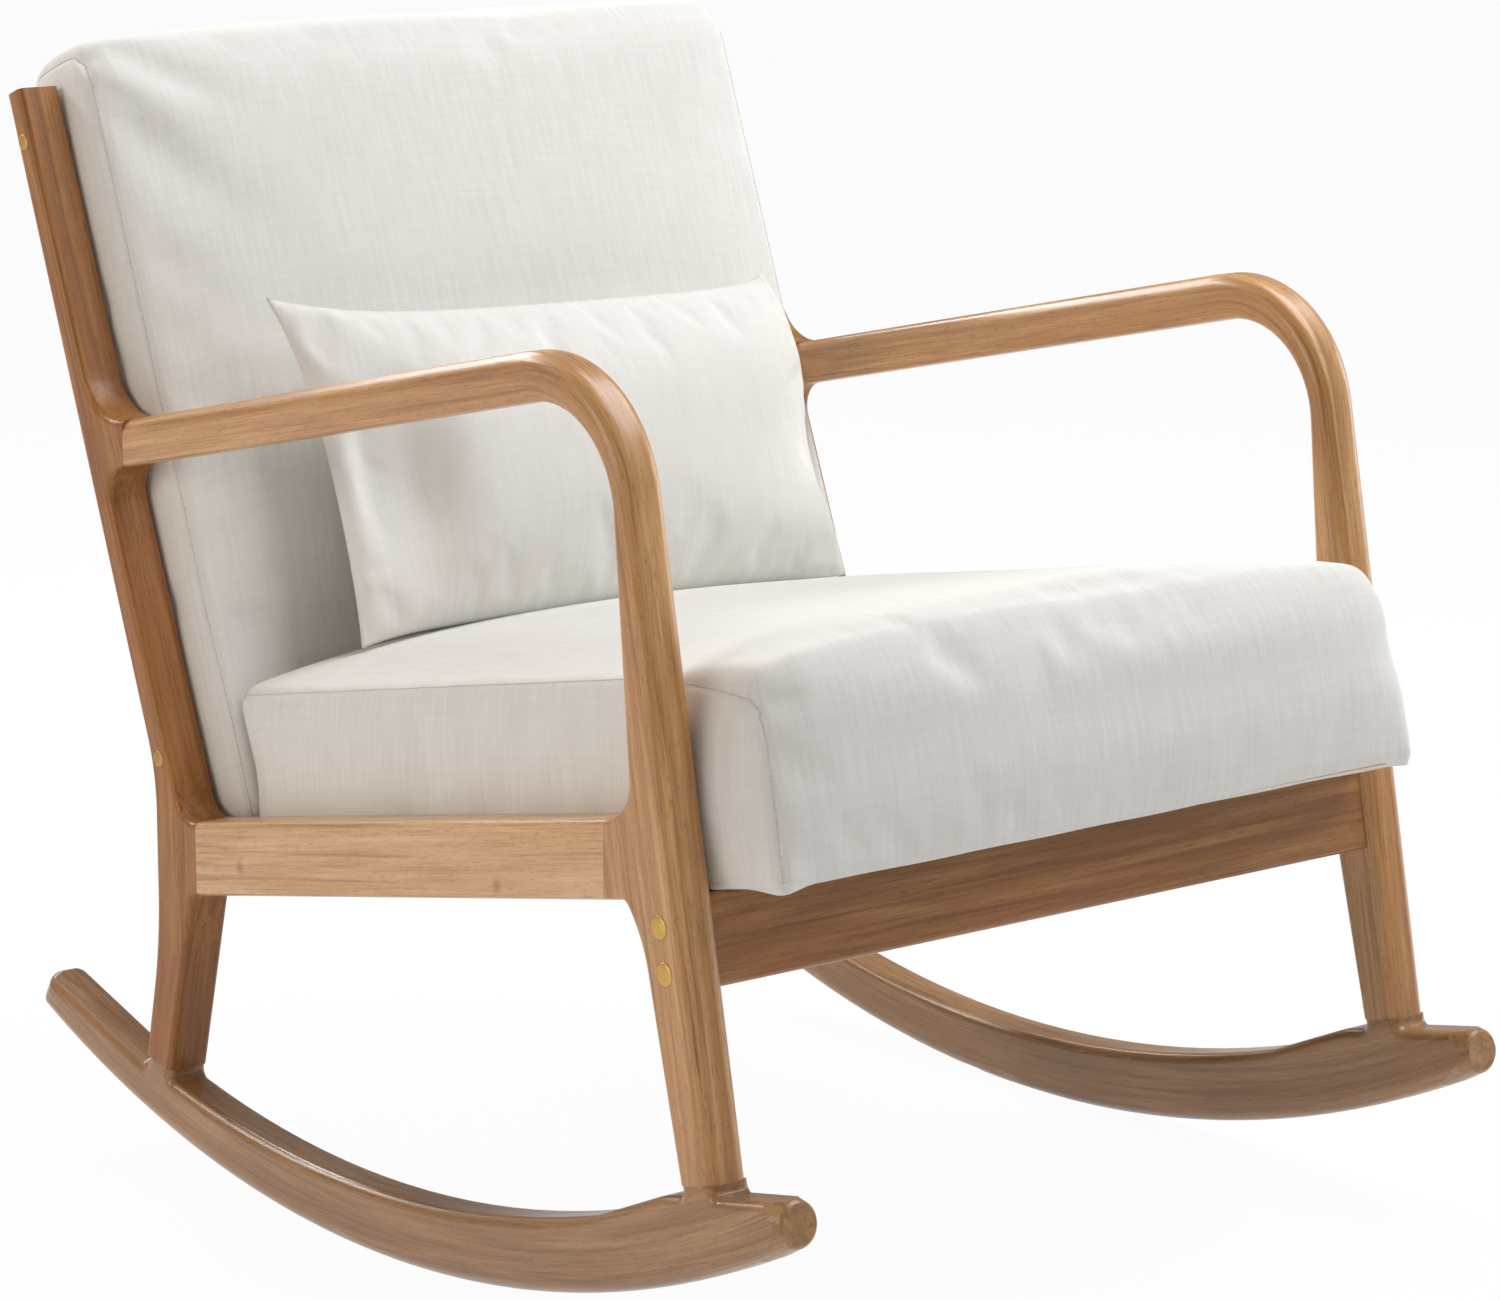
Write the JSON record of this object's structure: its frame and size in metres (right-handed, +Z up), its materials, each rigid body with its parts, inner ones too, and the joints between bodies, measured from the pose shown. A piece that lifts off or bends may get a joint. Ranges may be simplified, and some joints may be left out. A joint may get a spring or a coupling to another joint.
{
  "type": "rocking chair",
  "caption": "Low wooden rocking chair with arms curving down into the front legs, bowed rockers, a crowned upholstered seat and leaning back, and a loose lumbar pillow.",
  "frame": {"origin": "on the floor, under the middle of the overall box", "axes": "+X to the sitter's left, -Y the way the sitter faces, +Z up from the floor"},
  "size_m": [0.66, 0.9087, 0.8087],
  "materials": {
    "frame_wood": "satin lacquered hardwood with fine lengthwise grain",
    "inner_wood": "plain sawn softwood, unfinished",
    "ivory_linen": "plain woven linen-look cloth",
    "pillow_linen": "plain woven linen-look cloth",
    "foam": "open-cell polyurethane foam",
    "fibre_fill": "loose polyester fibre",
    "webbing": "woven elastic strap",
    "dust_cloth": "thin non-woven cloth",
    "steel": "zinc plated",
    "brass": "satin turned brass"
  },
  "bodies": {
    "chair": {"rear_post_left": "frame_wood", "rear_post_right": "frame_wood", "arm_left": "frame_wood", "arm_right": "frame_wood", "front_leg_left": "frame_wood", "front_leg_right": "frame_wood", "side_rail_left": "frame_wood", "side_rail_right": "frame_wood", "rocker_left": "frame_wood", "rocker_right": "frame_wood", "front_apron": "frame_wood", "rear_rail": "frame_wood", "seat_frame_front": "inner_wood", "seat_frame_rear": "inner_wood", "seat_frame_left": "inner_wood", "seat_frame_right": "inner_wood", "seat_corner_blocks": "inner_wood", "back_stile_left": "inner_wood", "back_stile_right": "inner_wood", "back_top_rail": "inner_wood", "back_bottom_rail": "inner_wood", "arm_dowels": "inner_wood", "side_rail_dowels": "inner_wood", "rocker_dowels": "inner_wood", "rear_rail_dowels": "inner_wood", "seat_cover": "ivory_linen", "back_cover": "ivory_linen", "back_panel": "ivory_linen", "seat_foam": "foam", "back_foam": "foam", "back_rear_foam": "foam", "seat_webbing": "webbing", "back_webbing": "webbing", "seat_dust_cover": "dust_cloth", "apron_bolts": "steel", "back_bolts": "steel", "apron_barrel_nuts": "steel", "back_inserts": "steel", "back_washers": "steel", "seat_screws": "steel", "leg_caps": "brass", "post_caps": "brass"},
    "pillow": {"pillow_cover": "pillow_linen", "pillow_filling": "fibre_fill"}
  },
  "joints": [
    {"name": "pillow_lift", "type": "slide", "parent": "chair", "child": "pillow", "axis": [0, 0, 1], "range_m": [0, 0.35]}
  ]
}
